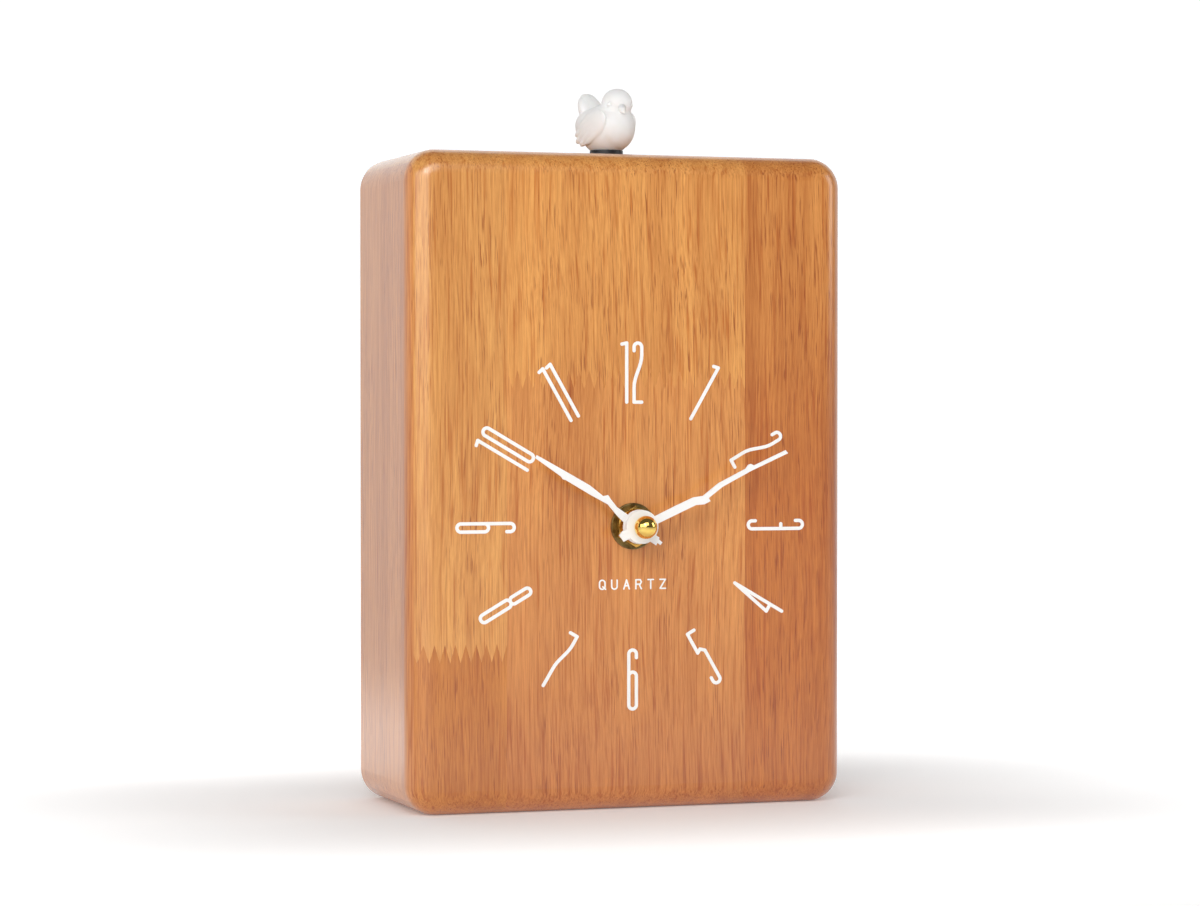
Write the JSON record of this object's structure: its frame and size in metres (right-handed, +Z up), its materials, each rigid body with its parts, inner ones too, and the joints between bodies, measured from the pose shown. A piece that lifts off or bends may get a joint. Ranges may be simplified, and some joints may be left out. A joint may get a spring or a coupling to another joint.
{
  "type": "wooden block table clock",
  "caption": "Upright rounded wooden block clock with white printed numerals, twig-shaped hands, a quartz movement and a small bird push button on top.",
  "frame": {"origin": "centre of the flat underside that the block stands on", "axes": "+Z up, -Y the dial face, +X the dial's three o'clock side"},
  "size_m": [0.14, 0.0756, 0.2215],
  "materials": {
    "case_wood": "satin",
    "magnet_nickel": "polished",
    "cover_board": "satin",
    "steel_disc": "satin",
    "print_white": "satin",
    "hand_white": "satin",
    "polished_brass": "polished",
    "antique_brass": "satin",
    "black_rubber": "matte",
    "gear_white": "matte",
    "gear_natural": "matte",
    "magnet_dark": "satin",
    "arbor_brass": "satin",
    "knob_black": "matte",
    "movement_black": "matte",
    "stator_steel": "satin",
    "bobbin_white": "matte",
    "copper_wire": "satin",
    "board_green": "satin",
    "epoxy_black": "gloss",
    "crystal_can": "polished",
    "cell_label": "gloss",
    "spring_steel": "satin",
    "bush_black": "matte",
    "stem_black": "satin",
    "screw_steel": "satin",
    "switch_black": "matte",
    "bird_white": "matte"
  },
  "bodies": {
    "case": {"wood_case": "case_wood", "case_magnets": "magnet_nickel", "dial_numerals": "print_white", "dial_word": "print_white", "dial_washer": "antique_brass", "hex_nut": "polished_brass", "threaded_post": "polished_brass", "rubber_gasket": "black_rubber", "movement_front_shell": "movement_black", "movement_rear_shell": "movement_black", "stator": "stator_steel", "coil_bobbin": "bobbin_white", "coil_winding": "copper_wire", "circuit_board": "board_green", "driver_chip": "epoxy_black", "quartz_crystal": "crystal_can", "contact_positive": "spring_steel", "contact_negative": "spring_steel", "guide_bush": "bush_black", "sound_board": "board_green", "board_screws": "screw_steel", "tact_switch": "switch_black", "buzzer": "switch_black", "coin_cell": "crystal_can", "coin_cell_clip": "spring_steel"},
    "rear cover": {"rear_cover": "cover_board", "cover_discs": "steel_disc"},
    "bird button": {"button_stem": "stem_black", "bird_figurine": "bird_white", "retaining_clip": "spring_steel", "button_spring": "spring_steel"},
    "minute hand": {"minute_arbor": "arbor_brass", "minute_hand": "hand_white", "cap_nut": "polished_brass"},
    "hour hand": {"hour_wheel": "gear_white", "hour_hand": "hand_white"},
    "minute wheel": {"minute_wheel": "gear_natural"},
    "setting knob": {"setting_knob": "knob_black"},
    "seconds wheel": {"seconds_wheel": "gear_natural"},
    "intermediate wheel": {"intermediate_wheel": "gear_white"},
    "rotor": {"rotor_pinion": "gear_natural", "rotor_magnet": "magnet_dark"},
    "third wheel": {"third_wheel": "gear_white"},
    "centre wheel": {"centre_wheel": "gear_white"},
    "battery": {"battery_cell": "cell_label"}
  },
  "joints": [
    {"name": "minute_hand_turn", "type": "hinge", "parent": "case", "child": "minute hand", "pos_m": [0, -0.019, 0.0865], "axis": [0, 1, 0], "continuous": true},
    {"name": "hour_hand_turn", "type": "hinge", "parent": "case", "child": "hour hand", "pos_m": [0, -0.019, 0.0865], "axis": [0, 1, 0], "continuous": true},
    {"name": "minute_wheel_turn", "type": "hinge", "parent": "case", "child": "minute wheel", "pos_m": [0.0079, -0.019, 0.08937], "axis": [0, 1, 0], "continuous": true},
    {"name": "setting_knob_turn", "type": "hinge", "parent": "case", "child": "setting knob", "pos_m": [0.0163, -0.019, 0.08937], "axis": [0, 1, 0], "continuous": true},
    {"name": "seconds_wheel_turn", "type": "hinge", "parent": "case", "child": "seconds wheel", "pos_m": [-0.00575, -0.019, 0.10006], "axis": [0, 1, 0], "continuous": true},
    {"name": "intermediate_wheel_turn", "type": "hinge", "parent": "case", "child": "intermediate wheel", "pos_m": [0.00125, -0.019, 0.10006], "axis": [0, 1, 0], "continuous": true},
    {"name": "rotor_turn", "type": "hinge", "parent": "case", "child": "rotor", "pos_m": [0.00705, -0.019, 0.0985], "axis": [0, 1, 0], "continuous": true},
    {"name": "third_wheel_turn", "type": "hinge", "parent": "case", "child": "third wheel", "pos_m": [-0.00883, -0.019, 0.0916], "axis": [0, 1, 0], "continuous": true},
    {"name": "centre_wheel_turn", "type": "hinge", "parent": "case", "child": "centre wheel", "pos_m": [0, -0.019, 0.0865], "axis": [0, 1, 0], "continuous": true},
    {"name": "bird_press", "type": "slide", "parent": "case", "child": "bird button", "axis": [0, 0, -1], "range_m": [0, 0.0015], "stiffness_N_per_m": 500, "springref_m": -0.003, "deforming": ["button_spring"]},
    {"name": "rear_cover_pull", "type": "slide", "parent": "case", "child": "rear cover", "axis": [0, 1, 0], "range_m": [0, 0.06]},
    {"name": "battery_pull", "type": "slide", "parent": "case", "child": "battery", "axis": [0, 1, 0], "range_m": [0, 0.02]}
  ],
  "couplings": [
    {"joint": "hour_hand_turn", "follows": "minute_hand_turn", "ratio": 0.083333},
    {"joint": "minute_wheel_turn", "follows": "minute_hand_turn", "ratio": -0.33333},
    {"joint": "setting_knob_turn", "follows": "minute_hand_turn", "ratio": 1},
    {"joint": "intermediate_wheel_turn", "follows": "seconds_wheel_turn", "ratio": -6},
    {"joint": "rotor_turn", "follows": "seconds_wheel_turn", "ratio": 30},
    {"joint": "third_wheel_turn", "follows": "seconds_wheel_turn", "ratio": -0.125},
    {"joint": "centre_wheel_turn", "follows": "seconds_wheel_turn", "ratio": 0.016667}
  ]
}
